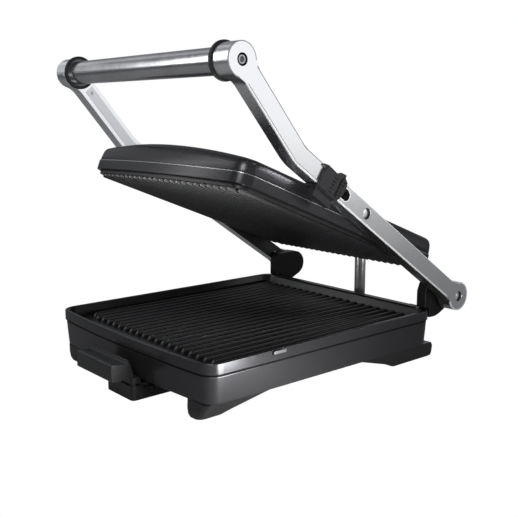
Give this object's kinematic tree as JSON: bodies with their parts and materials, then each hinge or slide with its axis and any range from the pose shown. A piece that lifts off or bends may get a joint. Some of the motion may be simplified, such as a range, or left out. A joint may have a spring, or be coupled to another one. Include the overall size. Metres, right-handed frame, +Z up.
{
  "type": "electric indoor grill",
  "caption": "Countertop contact grill with ribbed plates, a floating hinged lid carried on cast side arms with a tube handle, a height clip and a pull-out drip tray.",
  "frame": {"origin": "on the floor under the middle of the whole grill", "axes": "+X right, +Y back, +Z up; the tray pulls out along -Y"},
  "size_m": [0.3485, 0.4553, 0.382],
  "materials": {
    "housing_plastic": "satin charcoal moulding",
    "rim_paint": "satin charcoal coat on a cast frame",
    "nonstick": "dark non-stick coat on cast aluminium",
    "element_sheath": "heat-dulled sheath",
    "reflector_sheet": "plain sheet",
    "thermostat_body": "moulded heat-proof block",
    "black_plastic": "fine-grained black",
    "rubber_pad": "matt",
    "bracket_cast": "black coat on a casting",
    "pin_steel": "polished",
    "screw_steel": "plain",
    "cast_aluminium": "satin casting, polished at the bosses",
    "cover_sheet": "satin",
    "tube_steel": "brushed round the tube",
    "insert_metal": "plain",
    "bush_plastic": "moulded",
    "cable_jacket": "smooth dark jacket"
  },
  "bodies": {
    "base": {"base_housing": "housing_plastic", "base_rim": "rim_paint", "lower_plate": "nonstick", "lower_element": "element_sheath", "lower_reflector": "reflector_sheet", "thermostat": "thermostat_body", "foot_front_right": "black_plastic", "foot_front_left": "black_plastic", "foot_rear_right": "black_plastic", "foot_rear_left": "black_plastic", "foot_pads": "rubber_pad", "hinge_bracket_right": "bracket_cast", "hinge_bracket_left": "bracket_cast", "hinge_pins": "pin_steel", "hinge_washers": "pin_steel", "tray_rails": "black_plastic", "plate_clip": "pin_steel", "base_screws": "screw_steel"},
    "arms": {"arm_right": "cast_aluminium", "arm_left": "cast_aluminium", "arm_cover_right": "cover_sheet", "arm_cover_left": "cover_sheet", "cover_screws": "screw_steel", "pivot_pins": "pin_steel", "handle_tube": "tube_steel", "handle_collars": "black_plastic", "handle_inserts": "insert_metal", "handle_screws": "screw_steel", "lid_cables": "cable_jacket"},
    "lid": {"lid_housing": "housing_plastic", "lid_band": "housing_plastic", "upper_plate": "nonstick", "upper_element": "element_sheath", "upper_reflector": "reflector_sheet", "pivot_bushes": "bush_plastic"},
    "clip": {"height_clip": "black_plastic", "clip_pin": "pin_steel"},
    "drip_tray": {"drip_tray": "black_plastic"}
  },
  "joints": [
    {"name": "arms_hinge", "type": "hinge", "parent": "base", "child": "arms", "pos_m": [0, 0.2093, 0.08065], "axis": [-1, 0, 0], "range_deg": [-31.97, 58], "deforming": ["lid_cables"]},
    {"name": "lid_tilt", "type": "hinge", "parent": "arms", "child": "lid", "pos_m": [0, 0.02844, 0.20218], "axis": [-1, 0, 0], "range_deg": [-19.5, 10.7]},
    {"name": "clip_slide", "type": "slide", "parent": "arms", "child": "clip", "axis": [0, 0.83, -0.5577], "range_m": [0, 0.031]},
    {"name": "tray_slide", "type": "slide", "parent": "base", "child": "drip_tray", "axis": [0, -1, 0], "range_m": [0, 0.1]}
  ],
  "couplings": [
    {"joint": "lid_tilt", "follows": "arms_hinge", "ratio": -0.3316}
  ]
}
